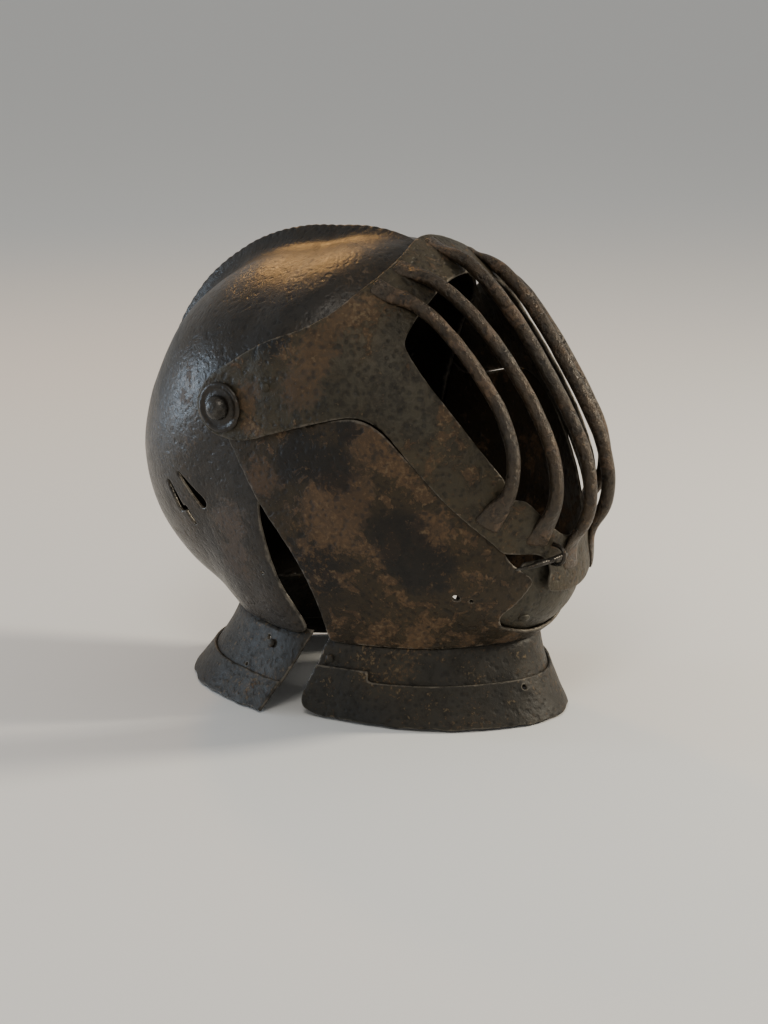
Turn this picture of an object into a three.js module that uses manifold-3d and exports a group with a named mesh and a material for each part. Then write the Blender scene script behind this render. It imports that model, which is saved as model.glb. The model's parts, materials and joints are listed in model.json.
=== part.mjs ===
// Tournament close helmet with a barred visor. Millimetres, +Z up, the face looks along -Y.
// The visor and the bevor turn on one axis through the two side pivots, parallel to X.
import * as THREE from 'three';
import { mergeVertices } from 'three/addons/utils/BufferGeometryUtils.js';
import loadManifold from 'manifold-3d';

const library = await loadManifold();
library.setup();
const { Manifold, Mesh: SolidMesh } = library;

// Driving dimensions
const PIVOT = { y: 35.2, z: 189 };
const PLATE = 2;
const RUNNING_GAP = 0.8;
const SEAT_GAP = 0.35;
const SKULL_HALF_WIDTH = 100;
const BEVOR_HALF_WIDTH = SKULL_HALF_WIDTH + RUNNING_GAP + PLATE;
const VISOR_HALF_WIDTH = BEVOR_HALF_WIDTH + RUNNING_GAP + PLATE;
const COMB_HALF_WIDTH = 6;
const NECK_Z = 48;
const NECK_CENTRE_Y = -13.2;
const BAR_DIAMETER = 8.4;
const PIVOT_HOLE_RADIUS = 3.9;
const PIVOT_SHANK_RADIUS = 3;
const AROUND = 46;
const COLLAR_AROUND = 44;

// Turns a list of columns and rows of numbers into rows with named values
function table(columns, ...rows) {
  const names = columns.split(' ');
  return rows.map((row) => Object.fromEntries(names.map((name, i) => [name, row[i]])));
}

// Median profiles: angle about the pivot axis in degrees, up from straight ahead, and distance from that axis
const skullProfile = table('angle radius comb',
  [-90, 182, 0], [-75, 215, 0], [-50, 200, 0], [0, 140, 0], [30, 119, 0], [43, 114, 0], [54, 110.5, 1.5],
  [68, 97, 7.5], [83, 85.5, 11.5], [106, 82.5, 12.5], [132, 85.5, 13.5], [154, 92.5, 15.5], [174, 101.5, 17],
  [190, 115, 10], [206, 131.5, 2], [222, 144, 0], [238, 149.5, 0], [251, 153.5, 0], [270, 182, 0]);
const visorProfile = table('angle radius',
  [-90, 214], [-40, 214], [-31, 208], [-27, 198], [-24, 193.5], [-21, 193], [-18.5, 191], [-14, 186],
  [-7, 174], [0, 162], [8, 151], [19, 139], [30, 130], [40, 124.5], [48, 121], [54.5, 119.5], [70, 118.5],
  [270, 118.5]);
const bevorProfile = table('angle radius',
  [-90, 196], [-75, 200], [-67, 205], [-60, 208], [-52, 208], [-46, 204.5], [-43, 206], [-40, 208],
  [-37, 210], [-34, 209], [-31, 204], [-27, 195.5], [-22, 189], [-10, 188], [0, 190], [90, 190], [270, 196]);

// Plates that share the pivot axis, from the innermost outwards; fullness rounds their sections
const evenLatitudes = [0, 10, 20, 30, 40, 50, 59, 67, 75, 82, 90];
const skullPlate = {
  halfWidth: SKULL_HALF_WIDTH,
  profile: skullProfile,
  fullness: 2,
  latitudes: [0, 1.6, 3.6, 7, 13, 22, 32, 42, 52, 62, 71, 80, 90],
};
const bevorPlate = {
  halfWidth: BEVOR_HALF_WIDTH,
  profile: bevorProfile,
  fullness: 2.6,
  latitudes: evenLatitudes,
};
const chinPlate = {
  ...bevorPlate,
  halfWidth: BEVOR_HALF_WIDTH - PLATE - RUNNING_GAP,
  profile: bevorProfile.map((row) => ({ angle: row.angle, radius: row.radius - PLATE - RUNNING_GAP })),
};
const visorPlate = { ...bevorPlate, halfWidth: VISOR_HALF_WIDTH, profile: visorProfile };

// Side outlines: distances forward of the pivot axis and up from it
const visorUpperEdge = table('forward up',
  [4, 26], [27, 40], [49, 49], [63, 58], [71, 68], [77, 78], [78, 86], [74, 94], [60, 110]);
const visorLowerEdge = table('forward up',
  [186, -112], [177, -105.5], [172, -99], [166, -88], [159, -75.5], [152, -65], [144, -54], [135, -43],
  [125, -30], [113, -16], [105, -7], [96, -1], [82, 1], [49, -8], [18, -18], [3, -19]);
const catchNotch = table('forward up',
  [156, -76], [164, -79], [171, -81], [174, -88], [175, -97], [176, -114]);
const catchNotchEdge = -13;
const visorLobe = table('forward up', [-9, -16], [-17, -6], [-17, 6], [-9, 17], [4, 26]);
const faceOpening = table('forward up',
  [101, 80], [103.5, 65], [103, 53], [103, 44], [106, 38], [118, 23], [133, 5], [147, -13], [161, -33],
  [163, -41], [165.5, -45], [170.5, -47.5], [175, -57], [178, -67], [178.3, -74]);
const bevorRearEdge = table('forward up',
  [1, -16], [14, -40], [24, -57], [39, -78], [48, -94], [53, -108], [55.5, -121], [56, -136], [55, -150]);
const bevorFrontEdge = table('forward up',
  [152, -126], [155, -118], [161, -112], [165, -107], [168, -101], [169, -96], [166, -91], [161.5, -84]);
const bevorTail = table('forward up', [40, -8], [22, 6], [8, 12], [-4, 12], [-12, 4], [-12, -5], [-6, -12]);
const skullFrontEdge = table('forward up',
  [42, -150], [39, -135], [34, -123], [26, -107], [22, -89], [19, -71], [19, -60], [24, -30], [32, 0],
  [44, 26], [62, 46], [80, 66], [85, 80], [83, 100]);
const hearingSlots = table('forward up towardForward towardUp startRadius endRadius',
  [-46, -49, -29, -65, 1, 3], [-58, -57, -51, -72, 1.2, 2.4], [-46, -72, -41, -81, 1.2, 0.9]);
const skullHoles = table('forward up radius', [14, -103, 1.6]);
const bevorHoles = table('forward up radius', [138, -104, 2], [145, -106, 1.1]);

// Face bars, from the wearer's right to the left: distances from the median plane and end angles
const barProfile = table('angle radius',
  [-27, 198.8], [-24, 199.3], [-19, 200.3], [-14, 196.3], [-7, 185.8], [0, 172.3], [8.4, 158.8], [19, 146.8],
  [30, 137.8], [40.8, 130.8], [48, 124.8], [52, 121.8]);
const barMiddle = 0.38;
const bars = table('name head middle foot headAngle footAngle',
  ['bar_1', -57, -46.5, -58, 37.5, -18.5], ['bar_2', -38, -25.5, -30, 42, -20.5],
  ['bar_3', 0, 0, 0, 45.5, -24.5],
  ['bar_4', 39, 30.5, 40, 42, -28], ['bar_5', 56, 48.5, 60, 37.5, -22]);

// Collar plates: heights, and how far each rim stands out from the neck at the side and at the middle
const collarPlates = table('name above bottom top stand sideFlare middleFlare curve',
  ['front_collar_upper', 'bevor', 21, 47.6, 0, 2, 18, 1.6],
  ['front_collar_lower', 'bevor', 0, 33, 2.4, 2, 18, 1.6],
  ['rear_neck_plate', 'skull', 16, 47.6, 0, 19, 32, 1.3],
  ['rear_lower_lame', 'skull', 0, 20, 2.4, 19, 32, 1.3]);
const frontCollarEdge = table('forward up',
  [56, -130], [53, -142], [47, -158], [39, -183], [72, -189], [76, -192]);
const rearCollarEdge = table('forward up', [40, -130], [39, -142], [13, -192]);
const lowerPlateStep = { forward: 82, drop: 6.5 };

// Small parts
const plateRivets = table('name plate forward up radius side sink',
  ['visor_rivet_right', 'visor', 32, 15, 3, -1, 0.15], ['visor_rivet_left', 'visor', 32, 15, 3, 1, 0.15],
  ['chin_rivet', 'chin', 161, -121, 3.4, -1, 1.2]);
const collarRivets = table('name collar direction height radius',
  ['front_collar_rivet_right', 'front_collar_upper', -84, 37.5, 2.8],
  ['front_collar_rivet_left', 'front_collar_upper', 84, 37.5, 2.8],
  ['rear_collar_rivet_right', 'rear_neck_plate', -118, 38, 2.8],
  ['rear_collar_rivet_left', 'rear_neck_plate', 118, 38, 2.8]);
const catchSize = { pinRadius: 1.9, pinStandoff: 2.4, stapleRadius: 5.6, wireRadius: 1.3 };

const materials = {
  iron: new THREE.MeshStandardMaterial({ color: 0x39342d, roughness: 0.55, metalness: 0.85 }),
  rusty: new THREE.MeshStandardMaterial({ color: 0x40301f, roughness: 0.68, metalness: 0.7 }),
  worn: new THREE.MeshStandardMaterial({ color: 0x55504a, roughness: 0.45, metalness: 0.9 }),
};

// Smooth value of one column of a table at a given angle
function valueAt(rows, column, angle) {
  const last = rows.length - 1;
  let i = 0;
  while (i < last - 1 && angle > rows[i + 1].angle) i += 1;
  const a = rows[i];
  const b = rows[i + 1];
  const before = rows[Math.max(i - 1, 0)];
  const after = rows[Math.min(i + 2, last)];
  const span = b.angle - a.angle;
  const t = THREE.MathUtils.clamp((angle - a.angle) / span, 0, 1);
  const slopeA = ((b[column] - before[column]) / (b.angle - before.angle)) * span;
  const slopeB = ((after[column] - a[column]) / (after.angle - a.angle)) * span;
  const t2 = t * t;
  const t3 = t2 * t;
  return (2 * t3 - 3 * t2 + 1) * a[column] + (t3 - 2 * t2 + t) * slopeA
    + (3 * t2 - 2 * t3) * b[column] + (t3 - t2) * slopeB;
}

// An angle about the pivot axis, brought into the range of the profile tables
function profileAngle(degrees) {
  return THREE.MathUtils.euclideanModulo(degrees + 90, 360) - 90;
}

// A point at an angle about the pivot axis and a distance from it, x across
function aroundPivot(x, degrees, radius) {
  const angle = THREE.MathUtils.degToRad(degrees);
  return new THREE.Vector3(x, PIVOT.y - radius * Math.cos(angle), PIVOT.z + radius * Math.sin(angle));
}

// Distance from the pivot axis of a plate's outer face at an angle and a distance across
function plateRadius(plate, degrees, x, outset = 0) {
  const across = Math.min(Math.abs(x) / (plate.halfWidth + outset), 1);
  const median = valueAt(plate.profile, 'radius', profileAngle(degrees)) + outset;
  return median * (1 - across ** 2) ** (1 / plate.fullness);
}

// Half-width of a plate's outer face at a point of the side outline
function plateHalfWidth(plate, forward, up) {
  const degrees = THREE.MathUtils.radToDeg(Math.atan2(up, forward));
  const reach = Math.hypot(forward, up) / valueAt(plate.profile, 'radius', profileAngle(degrees));
  return plate.halfWidth * Math.sqrt(Math.max(1 - reach ** plate.fullness, 0));
}

function solidOf(geometry) {
  const bare = geometry.clone();
  bare.deleteAttribute('normal');
  bare.deleteAttribute('uv');
  const merged = mergeVertices(bare, 1e-4);
  const vertProperties = new Float32Array(merged.attributes.position.array);
  const triVerts = new Uint32Array(merged.index.array);
  return new Manifold(new SolidMesh({ numProp: 3, vertProperties, triVerts }));
}

function geometryOf(solid) {
  const mesh = solid.simplify(0.03).getMesh();
  const geometry = new THREE.BufferGeometry();
  geometry.setAttribute('position', new THREE.BufferAttribute(mesh.vertProperties, 3));
  geometry.setIndex(new THREE.BufferAttribute(mesh.triVerts, 1));
  geometry.computeVertexNormals();
  return geometry;
}

// Closed solid inside a plate's outer face, its sections ovals that close at the pivots
function plateCore(plate, outset = 0) {
  const rows = [...plate.latitudes.slice(1).reverse().map((degrees) => -degrees), ...plate.latitudes];
  const grid = new THREE.SphereGeometry(1, AROUND, rows.length - 1);
  const position = grid.attributes.position;
  for (let i = 0; i < position.count; i += 1) {
    const latitude = THREE.MathUtils.degToRad(rows[Math.floor(i / (AROUND + 1))]);
    const degrees = profileAngle(-90 - (360 * (i % (AROUND + 1))) / AROUND);
    const x = -(plate.halfWidth + outset) * Math.sin(latitude);
    const roundness = Math.max(Math.cos(latitude), 0) ** (2 / plate.fullness);
    const comb = plate === skullPlate ? valueAt(plate.profile, 'comb', degrees) : 0;
    const ridge = comb * Math.exp(-((Math.abs(x) / (COMB_HALF_WIDTH + outset / 2)) ** 1.3));
    const radius = (valueAt(plate.profile, 'radius', degrees) + outset) * roundness + ridge;
    position.setXYZ(i, ...aroundPivot(x, degrees, radius));
  }
  return solidOf(grid);
}

function plateShell(plate) {
  return plateCore(plate).subtract(plateCore(plate, -PLATE));
}

// Prism across the helmet with an outline given in the side view
function sidePrism(shape, fromX = -140, toX = 140) {
  const depth = toX - fromX;
  const prism = new THREE.ExtrudeGeometry(shape, { depth, bevelEnabled: false, curveSegments: 3 });
  const forward = new THREE.Vector3(0, -1, 0);
  const up = new THREE.Vector3(0, 0, 1);
  const across = new THREE.Vector3(-1, 0, 0);
  prism.applyMatrix4(new THREE.Matrix4().makeBasis(forward, up, across));
  prism.translate(toX, PIVOT.y, PIVOT.z);
  return solidOf(prism);
}

function pointsOf(rows) {
  return rows.map((row) => new THREE.Vector2(row.forward, row.up));
}

// Closed side outline of smooth runs and straight runs, one after the other
function outline(...runs) {
  const shape = new THREE.Shape();
  runs.forEach(({ rows, smooth }, i) => {
    const points = pointsOf(rows);
    if (i === 0) shape.moveTo(points[0].x, points[0].y);
    else shape.lineTo(points[0].x, points[0].y);
    if (smooth) shape.splineThru(points.slice(1));
    else points.slice(1).forEach((point) => shape.lineTo(point.x, point.y));
  });
  return shape;
}

const smoothRun = (rows) => ({ rows, smooth: true });
const straightRun = (...points) => {
  const rows = points.map(([forward, up]) => ({ forward, up }));
  return { rows, smooth: false };
};

function circlePrism(forward, up, radius, fromX, toX) {
  const shape = new THREE.Shape();
  shape.absarc(forward, up, radius, 0, 2 * Math.PI);
  return sidePrism(shape, fromX, toX);
}

// Slot that widens from one round end to the other
function slotPrism(slot) {
  const start = new THREE.Vector2(slot.forward, slot.up);
  const end = new THREE.Vector2(slot.towardForward, slot.towardUp);
  const heading = end.clone().sub(start).angle();
  const shape = new THREE.Shape();
  shape.absarc(start.x, start.y, slot.startRadius, heading + Math.PI / 2, heading + 1.5 * Math.PI);
  shape.absarc(end.x, end.y, slot.endRadius, heading - Math.PI / 2, heading + Math.PI / 2);
  return sidePrism(shape);
}

function aboveNeck(up) {
  return sidePrism(outline(straightRun([-260, up], [260, up], [260, 200], [-260, 200])));
}

const pivotHole = circlePrism(0, 0, PIVOT_HOLE_RADIUS);
const neckUp = NECK_Z - PIVOT.z;

// Skull, with the comb drawn up along its middle
function buildSkull() {
  const keep = outline(smoothRun(skullFrontEdge), straightRun([84, 140], [-220, 140], [-220, -150]));
  let solid = plateShell(skullPlate).intersect(sidePrism(keep)).intersect(aboveNeck(neckUp));
  hearingSlots.forEach((slot) => {
    solid = solid.subtract(slotPrism(slot));
  });
  skullHoles.forEach((hole) => {
    solid = solid.subtract(circlePrism(hole.forward, hole.up, hole.radius, -140, 0));
  });
  return solid.subtract(pivotHole);
}

function buildVisor() {
  const keep = outline(smoothRun(visorUpperEdge), straightRun([240, 110], [240, -112]),
    smoothRun(visorLowerEdge), smoothRun(visorLobe));
  const opening = outline(smoothRun(faceOpening), straightRun([240, -76], [240, 82]));
  const notch = outline(smoothRun(catchNotch), straightRun([150, -114]));
  return plateShell(visorPlate).intersect(sidePrism(keep)).subtract(sidePrism(opening)).subtract(pivotHole)
    .subtract(sidePrism(notch, -140, catchNotchEdge));
}

// The bevor's upper edge runs along the visor's lower edge and passes under the lobe to the pivot
function buildBevor() {
  const seam = visorLowerEdge.slice(4, -3)
    .map(({ forward, up }) => ({ forward: forward - 0.6, up: up - 1.7 }));
  const keep = outline(smoothRun(bevorRearEdge), straightRun([240, -150], [240, -134], [158, -133]),
    smoothRun(bevorFrontEdge), smoothRun([...seam, ...bevorTail, bevorRearEdge[0]]));
  let solid = plateShell(bevorPlate).intersect(sidePrism(keep)).intersect(aboveNeck(neckUp));
  bevorHoles.forEach((hole) => {
    solid = solid.subtract(circlePrism(hole.forward, hole.up, hole.radius, -140, 0));
  });
  return solid.subtract(pivotHole);
}

// The chin plate lies inside the bevor's front edges and behind the visor's lower rim
function buildChinPlate() {
  const rear = bevorFrontEdge.slice(0, 5).map(({ forward, up }) => ({ forward: forward - 6, up: up - 1 }));
  const keep = outline(smoothRun(rear), straightRun([164, -86], [240, -86], [240, -137], [150, -137]));
  return plateShell(chinPlate).intersect(sidePrism(keep));
}

// Frame on the visor's outer face: outward, along the bar and across
function visorFrame(x, degrees, outset) {
  const at = (angle) => aroundPivot(x, angle, plateRadius(visorPlate, angle, x, outset));
  const along = at(degrees + 1).sub(at(degrees - 1)).normalize();
  const across = aroundPivot(x + 2, degrees, plateRadius(visorPlate, degrees, x + 2, outset))
    .sub(aroundPivot(x - 2, degrees, plateRadius(visorPlate, degrees, x - 2, outset))).normalize();
  const outward = new THREE.Vector3().crossVectors(across, along).normalize();
  return new THREE.Matrix4().makeBasis(across, along, outward).setPosition(at(degrees));
}

// Flat end of a bar, lying on the visor
function barPad(x, degrees, width, length, height) {
  const pad = new THREE.SphereGeometry(1, 10, 6);
  pad.scale(width / 2, length / 2, height);
  pad.applyMatrix4(visorFrame(x, degrees, 0));
  return solidOf(pad);
}

function buildBar(bar, visorCore) {
  const steps = 9;
  const points = Array.from({ length: steps }, (_, i) => {
    const t = i / (steps - 1);
    const degrees = THREE.MathUtils.lerp(bar.footAngle, bar.headAngle, t);
    const [end, span] = t < barMiddle ? [bar.foot, barMiddle] : [bar.head, 1 - barMiddle];
    const x = THREE.MathUtils.lerp(bar.middle, end, (Math.abs(t - barMiddle) / span) ** 1.5);
    const across = 1 - (x / VISOR_HALF_WIDTH) ** 2;
    const median = valueAt(barProfile, 'radius', degrees);
    const resting = plateRadius(visorPlate, degrees, x, BAR_DIAMETER * 0.2);
    const free = median * across ** (1 / visorPlate.fullness);
    const nearEnd = Math.abs(2 * t - 1) ** 5;
    return aroundPivot(x, degrees, THREE.MathUtils.lerp(Math.max(free, resting), resting, nearEnd));
  });
  const section = new THREE.Shape();
  section.absarc(0, 0, BAR_DIAMETER / 2, 0, 2 * Math.PI);
  const extrudePath = new THREE.CatmullRomCurve3(points);
  const rod = new THREE.ExtrudeGeometry(section, { steps: 15, curveSegments: 4, extrudePath });
  const head = barPad(bar.head, bar.headAngle, 14, 22, 3.4);
  const foot = barPad(bar.foot, bar.footAngle, 18, 20, 3.4);
  return solidOf(rod).add(head).add(foot).subtract(visorCore);
}

// Distance from the neck centre to a plate's outer face, level with the neck, at an angle from the front
function neckRadius(plate, direction) {
  let near = 20;
  let far = 200;
  for (let i = 0; i < 24; i += 1) {
    const radius = (near + far) / 2;
    const forward = PIVOT.y - NECK_CENTRE_Y + radius * Math.cos(direction);
    const inside = plateHalfWidth(plate, forward, neckUp) > Math.abs(radius * Math.sin(direction));
    if (inside) near = radius;
    else far = radius;
  }
  return near;
}

// How far a collar plate's outer face lies from the neck centre
function collarRadius(collar, direction, z) {
  const isFront = collar.above === 'bevor';
  const toMiddle = Math.max(isFront ? Math.cos(direction) : -Math.cos(direction), 0) ** 2;
  const fall = Math.max((NECK_Z - z) / NECK_Z, 0) ** collar.curve;
  const flare = THREE.MathUtils.lerp(collar.sideFlare, collar.middleFlare, toMiddle);
  return neckRadius(isFront ? bevorPlate : skullPlate, direction) + collar.stand + flare * fall;
}

function collarPoint(collar, direction, z, outset) {
  const radius = collarRadius(collar, direction, z) + outset;
  return new THREE.Vector3(radius * Math.sin(direction), NECK_CENTRE_Y - radius * Math.cos(direction), z);
}

// Ring wall around the neck, outer face first, cut to the front or the back half of the collar
function buildCollar(collar) {
  const { bottom, top } = collar;
  const heights = [0, 0.25, 0.5, 0.75, 1].map((t) => THREE.MathUtils.lerp(bottom, top, t));
  const walls = [...heights.map((z) => [z, 0]), ...heights.reverse().map((z) => [z, -PLATE])];
  const profile = [...walls, walls[0]].map(([z, outset]) => new THREE.Vector2(100 + outset, z));
  const ring = new THREE.LatheGeometry(profile, COLLAR_AROUND);
  const position = ring.attributes.position;
  for (let i = 0; i < position.count; i += 1) {
    const direction = Math.atan2(position.getX(i), position.getZ(i));
    const outset = Math.hypot(position.getX(i), position.getZ(i)) - 100;
    position.setXYZ(i, ...collarPoint(collar, direction, position.getY(i), outset));
  }
  const isFront = collar.above === 'bevor';
  const edge = isFront ? frontCollarEdge : rearCollarEdge;
  const far = isFront ? 260 : -260;
  const keep = outline(smoothRun(edge), straightRun([far, -192], [far, -130]));
  let solid = solidOf(ring).intersect(sidePrism(keep));
  if (collar.name === 'front_collar_lower') {
    const { forward, drop } = lowerPlateStep;
    const topUp = top - PIVOT.z;
    const low = topUp - drop;
    const cut = straightRun([forward, topUp + 4], [forward, low], [260, low], [260, topUp + 4]);
    solid = solid.subtract(sidePrism(outline(cut)));
  }
  return solid;
}

// Washer and domed rivet on the pivot axis, one pair on each side
function pivotPiece(profile, side) {
  const piece = new THREE.LatheGeometry(profile.map(([radius, x]) => new THREE.Vector2(radius, x)), 20);
  piece.rotateZ(-Math.PI / 2);
  if (side < 0) piece.rotateZ(Math.PI);
  piece.translate(0, PIVOT.y, PIVOT.z);
  return piece;
}

const washerBase = VISOR_HALF_WIDTH + SEAT_GAP;
const washerProfile = [[PIVOT_HOLE_RADIUS, washerBase], [15, washerBase - 0.1], [15, washerBase + 1.2],
  [13.4, washerBase + 2.2], [11.4, washerBase + 1.5], [8, washerBase + 1.9],
  [PIVOT_HOLE_RADIUS, washerBase + 1.9], [PIVOT_HOLE_RADIUS, washerBase]];
const headBase = washerBase + 1.9 + SEAT_GAP;
const rivetEnd = SKULL_HALF_WIDTH - PLATE - 3;
const rivetProfile = [[0, rivetEnd], [PIVOT_SHANK_RADIUS, rivetEnd], [PIVOT_SHANK_RADIUS, headBase],
  [7.4, headBase], [7.1, headBase + 2], [5.6, headBase + 4.2], [3, headBase + 5.6], [0, headBase + 6]];

// Domed rivet head on a face, from a point there and the direction outwards
function rivetHead(point, outward, radius, sink = 0) {
  const dome = [[0, 0], [1, 0], [0.92, 0.34], [0.6, 0.62], [0, 0.74]];
  const head = new THREE.LatheGeometry(dome.map(([r, h]) => new THREE.Vector2(r * radius, h * radius)), 12);
  head.applyQuaternion(new THREE.Quaternion().setFromUnitVectors(new THREE.Vector3(0, 1, 0), outward));
  head.translate(...point.clone().addScaledVector(outward, SEAT_GAP - sink));
  return head;
}

// Outward direction of a face, from two short steps along it
function outwardOf(point, acrossStep, upStep) {
  const across = acrossStep.clone().sub(point);
  const up = upStep.clone().sub(point);
  return new THREE.Vector3().crossVectors(across, up).normalize();
}

// Catch at the right of the chin: a pin through a staple that stands on the visor
function catchPoint(x, degrees, outset) {
  return aroundPivot(x, degrees, plateRadius(visorPlate, degrees, x, outset));
}

function buildCatchPin() {
  const { pinRadius, pinStandoff } = catchSize;
  const section = new THREE.Shape();
  section.absarc(0, 0, pinRadius, 0, 2 * Math.PI);
  const route = [[-47, -27.4], [-38, -26.6], [-28, -25.8], [-18, -25.2], [-10, -24.8]];
  const points = route.map(([x, degrees]) => catchPoint(x, degrees, pinStandoff + pinRadius));
  const extrudePath = new THREE.CatmullRomCurve3(points);
  return solidOf(new THREE.ExtrudeGeometry(section, { steps: 8, curveSegments: 4, extrudePath }));
}

function buildCatchStaple(visorCore) {
  const { pinRadius, pinStandoff, stapleRadius, wireRadius } = catchSize;
  const frame = visorFrame(-18, -25.2, 0);
  const reach = pinStandoff + pinRadius;
  const bend = stapleRadius * Math.SQRT1_2;
  const route = [[-stapleRadius, -1], [-stapleRadius, reach], [-bend, reach + bend],
    [0, reach + stapleRadius], [bend, reach + bend], [stapleRadius, reach], [stapleRadius, -1]];
  const points = route.map(([along, out]) => new THREE.Vector3(0, along, out).applyMatrix4(frame));
  const section = new THREE.Shape();
  section.absarc(0, 0, wireRadius, 0, 2 * Math.PI);
  const extrudePath = new THREE.CatmullRomCurve3(points);
  const loop = solidOf(new THREE.ExtrudeGeometry(section, { steps: 18, curveSegments: 3, extrudePath }));
  return loop.subtract(visorCore);
}

const helmet = new THREE.Group();

function addPiece(name, geometry, material) {
  const mesh = new THREE.Mesh(geometry, material);
  mesh.name = name;
  helmet.add(mesh);
}

const visorCore = plateCore(visorPlate, SEAT_GAP);
addPiece('skull', geometryOf(buildSkull()), materials.iron);
addPiece('visor', geometryOf(buildVisor()), materials.rusty);
addPiece('bevor', geometryOf(buildBevor()), materials.rusty);
addPiece('chin_plate', geometryOf(buildChinPlate()), materials.iron);
bars.forEach((bar) => addPiece(bar.name, geometryOf(buildBar(bar, visorCore)), materials.rusty));
collarPlates.forEach((collar) => addPiece(collar.name, geometryOf(buildCollar(collar)), materials.iron));
[['right', -1], ['left', 1]].forEach(([name, side]) => {
  addPiece(`pivot_washer_${name}`, pivotPiece(washerProfile, side), materials.iron);
  addPiece(`pivot_rivet_${name}`, pivotPiece(rivetProfile, side), materials.worn);
});
const plates = { visor: visorPlate, chin: chinPlate };
plateRivets.forEach(({ name, plate, forward, up, radius, side, sink }) => {
  const onFace = (f, u) => {
    const x = side * plateHalfWidth(plates[plate], f, u);
    return new THREE.Vector3(x, PIVOT.y - f, PIVOT.z + u);
  };
  const point = onFace(forward, up);
  const outward = outwardOf(point, onFace(forward - side, up), onFace(forward, up + 1));
  addPiece(name, rivetHead(point, outward, radius, sink), materials.iron);
});
collarRivets.forEach(({ name, collar, direction, height, radius }) => {
  const plate = collarPlates.find((row) => row.name === collar);
  const angle = THREE.MathUtils.degToRad(direction);
  const point = collarPoint(plate, angle, height, 0);
  const upStep = collarPoint(plate, angle, height + 1, 0);
  const outward = outwardOf(point, collarPoint(plate, angle + 0.02, height, 0), upStep);
  addPiece(name, rivetHead(point, outward, radius), materials.iron);
});
addPiece('catch_pin', geometryOf(buildCatchPin()), materials.worn);
addPiece('catch_staple', geometryOf(buildCatchStaple(visorCore)), materials.worn);

export default helmet;
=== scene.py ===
import json
import math

import bmesh
import bpy
import numpy as np
from mathutils import Matrix, Vector, kdtree, noise


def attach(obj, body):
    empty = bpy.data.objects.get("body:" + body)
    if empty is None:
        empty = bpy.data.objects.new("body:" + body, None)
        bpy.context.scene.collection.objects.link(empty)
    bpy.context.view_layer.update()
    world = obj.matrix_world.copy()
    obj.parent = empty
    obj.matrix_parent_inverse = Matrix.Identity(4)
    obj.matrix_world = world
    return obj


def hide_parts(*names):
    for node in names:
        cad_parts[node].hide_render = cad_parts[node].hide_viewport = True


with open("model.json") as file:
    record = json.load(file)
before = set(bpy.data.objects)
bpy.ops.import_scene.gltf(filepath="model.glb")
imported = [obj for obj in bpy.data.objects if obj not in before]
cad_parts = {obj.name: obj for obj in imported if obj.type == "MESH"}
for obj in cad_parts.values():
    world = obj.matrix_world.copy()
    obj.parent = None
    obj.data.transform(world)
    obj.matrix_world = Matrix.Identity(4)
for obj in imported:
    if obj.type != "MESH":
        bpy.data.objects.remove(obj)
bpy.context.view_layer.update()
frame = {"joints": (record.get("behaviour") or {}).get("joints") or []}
print("frame loaded")

mm = 0.001
pivotY, pivotZ = [value / mm for value in frame["joints"][0]["pos_m"][1:]]  # both hinges turn here
plateThickness = 2.0
neckZ, neckY = 48.0, pivotY - 48.4
neckUp = neckZ - pivotZ


# Points are worked out as across, forward of the pivot axis and up from it, in millimetres

def toFrame(point):
    across, forward, up = point
    return Vector((across, pivotY - forward, pivotZ + up)) * mm


def mix(a, b, share):
    return a + (b - a) * share


def ease(low, high, value):
    share = min(max((value - low) / (high - low), 0.0), 1.0)
    return share * share * (3 - 2 * share)


def profileValue(rows, column, angle):
    last = len(rows) - 1
    i = 0
    while i < last - 1 and angle > rows[i + 1][0]:
        i += 1
    a, b = rows[i], rows[i + 1]
    before, after = rows[max(i - 1, 0)], rows[min(i + 2, last)]
    span = b[0] - a[0]
    t = min(max((angle - a[0]) / span, 0.0), 1.0)
    slopeA = (b[column] - before[column]) / (b[0] - before[0]) * span
    slopeB = (after[column] - a[column]) / (after[0] - a[0]) * span
    return ((2 * t**3 - 3 * t**2 + 1) * a[column] + (t**3 - 2 * t**2 + t) * slopeA
            + (3 * t**2 - 2 * t**3) * b[column] + (t**3 - t**2) * slopeB)


def profileAngle(degrees):
    return (degrees + 90) % 360 - 90


# Side outlines

def smoothRun(points, steps=7):
    run = [points[0]]
    for i in range(len(points) - 1):
        p0, p1 = points[max(i - 1, 0)], points[i]
        p2, p3 = points[i + 1], points[min(i + 2, len(points) - 1)]
        for k in range(1, steps + 1):
            t = k / steps
            run.append(tuple(
                p1[n] + 0.5 * t * ((p2[n] - p0[n]) + t * ((2 * p0[n] - 5 * p1[n] + 4 * p2[n] - p3[n])
                                   + t * (3 * (p1[n] - p2[n]) + p3[n] - p0[n])))
                for n in (0, 1)))
    return run


def signedDistance(points, polygon):
    px, py = points[:, 0], points[:, 1]
    inside = np.zeros(len(points), bool)
    nearest = np.full(len(points), 1e9)
    for (ax, ay), (bx, by) in zip(polygon, polygon[1:] + polygon[:1]):
        dx, dy = bx - ax, by - ay
        length = dx * dx + dy * dy
        if length < 1e-9:
            continue
        along = np.clip(((px - ax) * dx + (py - ay) * dy) / length, 0, 1)
        nearest = np.minimum(nearest, np.hypot(px - ax - along * dx, py - ay - along * dy))
        crosses = (ay > py) != (by > py)
        inside ^= crosses & (px < dx * (py - ay) / (dy if abs(dy) > 1e-9 else 1e-9) + ax)
    return np.where(inside, nearest, -nearest)


def slotDistance(points, slot):
    start, end = np.array(slot["start"]), np.array(slot["end"])
    way = end - start
    along = np.clip((points - start) @ way / (way @ way), 0, 1)
    radius = mix(slot["startRadius"], slot["endRadius"], along)
    return np.linalg.norm(points - start - along[:, None] * way, axis=1) - radius


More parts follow.
